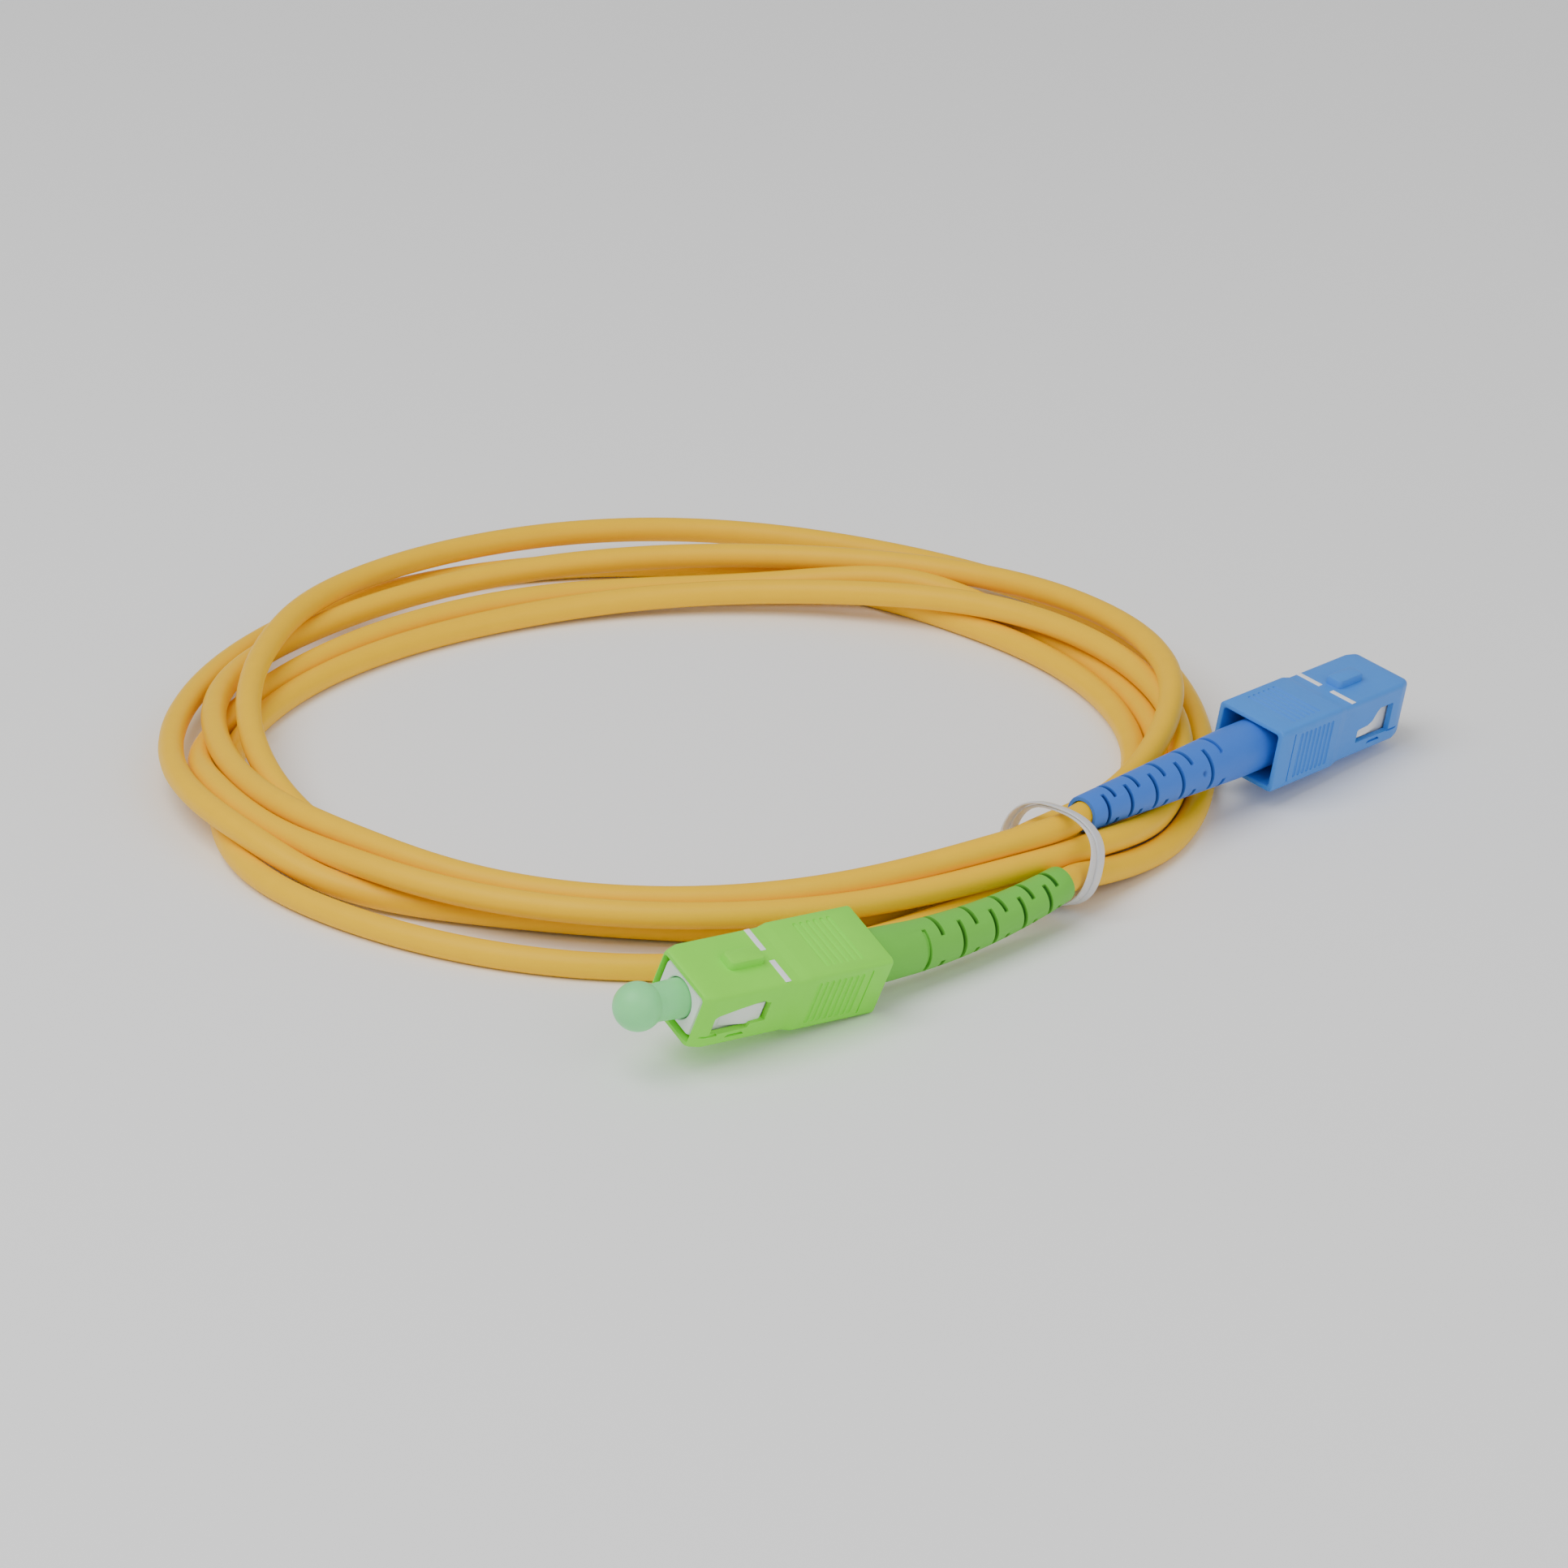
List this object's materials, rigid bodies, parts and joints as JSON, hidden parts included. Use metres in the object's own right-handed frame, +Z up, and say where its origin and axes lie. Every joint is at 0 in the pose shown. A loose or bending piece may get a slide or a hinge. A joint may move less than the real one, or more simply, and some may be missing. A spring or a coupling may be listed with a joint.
{
  "type": "fiber optic patch cord",
  "caption": "Coiled yellow fibre jumper with a green angled-polish plug and a blue flat-polish plug, flexing boots, dust caps and a clear tie.",
  "frame": {"origin": "on the surface it lies on, under the middle of the box round the two connectors, boots, caps and the tie", "axes": "+Z up; the green plug points roughly -X -Y, the blue plug +X +Y, and the coil lies to the -X +Y side"},
  "size_m": [0.1441, 0.1457, 0.0127],
  "materials": {
    "apc_housing": "satin moulded plastic, light green",
    "upc_housing": "satin moulded plastic, sky blue",
    "apc_boot": "smooth soft plastic, green",
    "upc_boot": "smooth soft plastic, blue",
    "apc_cap": "translucent soft plastic, mint green",
    "upc_cap": "clear soft plastic",
    "frame": "white moulded plastic",
    "ceramic": "polished white zirconia ceramic",
    "nickel": "nickel-plated, satin",
    "spring_steel": "drawn wire",
    "crimp_alloy": "satin",
    "aramid": "woven yarn",
    "buffer": "smooth extruded",
    "jacket": "satin extruded jacket, yellow",
    "tie": "clear flat tie band"
  },
  "bodies": {
    "cord_and_inner_plugs": {"cord_coil": "jacket", "apc_cord_tail": "jacket", "upc_cord_tail": "jacket", "tie": "tie", "apc_plug_frame": "frame", "apc_stop_ring": "nickel", "apc_aramid_yarn": "aramid", "apc_crimp_sleeve": "crimp_alloy", "apc_buffered_fibre": "buffer", "apc_boot": "apc_boot", "apc_spring": "spring_steel", "upc_plug_frame": "frame", "upc_stop_ring": "nickel", "upc_aramid_yarn": "aramid", "upc_crimp_sleeve": "crimp_alloy", "upc_buffered_fibre": "buffer", "upc_boot": "upc_boot", "upc_spring": "spring_steel"},
    "apc_sleeve": {"apc_outer_housing": "apc_housing"},
    "apc_ferrule_group": {"apc_ferrule": "ceramic", "apc_ferrule_flange": "nickel"},
    "apc_cap": {"apc_dust_cap": "apc_cap"},
    "upc_sleeve": {"upc_outer_housing": "upc_housing"},
    "upc_ferrule_group": {"upc_ferrule": "ceramic", "upc_ferrule_flange": "nickel"},
    "upc_cap": {"upc_dust_cap": "upc_cap"}
  },
  "joints": [
    {"name": "apc_sleeve_slide", "type": "slide", "parent": "cord_and_inner_plugs", "child": "apc_sleeve", "axis": [0.7857, 0.6094, -0.1063], "range_m": [0, 0.002]},
    {"name": "apc_ferrule_float", "type": "slide", "parent": "cord_and_inner_plugs", "child": "apc_ferrule_group", "axis": [0.7857, 0.6094, -0.1063], "range_m": [0, 0.0015], "stiffness_N_per_m": 1500, "deforming": ["apc_spring"]},
    {"name": "apc_cap_pull", "type": "slide", "parent": "apc_ferrule_group", "child": "apc_cap", "axis": [-0.7857, -0.6094, 0.1063], "range_m": [0, 0.014]},
    {"name": "upc_sleeve_slide", "type": "slide", "parent": "cord_and_inner_plugs", "child": "upc_sleeve", "axis": [-0.6617, -0.7479, 0.0523], "range_m": [0, 0.002]},
    {"name": "upc_ferrule_float", "type": "slide", "parent": "cord_and_inner_plugs", "child": "upc_ferrule_group", "axis": [-0.6617, -0.7479, 0.0523], "range_m": [0, 0.0015], "stiffness_N_per_m": 1500, "deforming": ["upc_spring"]},
    {"name": "upc_cap_pull", "type": "slide", "parent": "upc_ferrule_group", "child": "upc_cap", "axis": [0.6617, 0.7479, -0.0523], "range_m": [0, 0.014]}
  ]
}
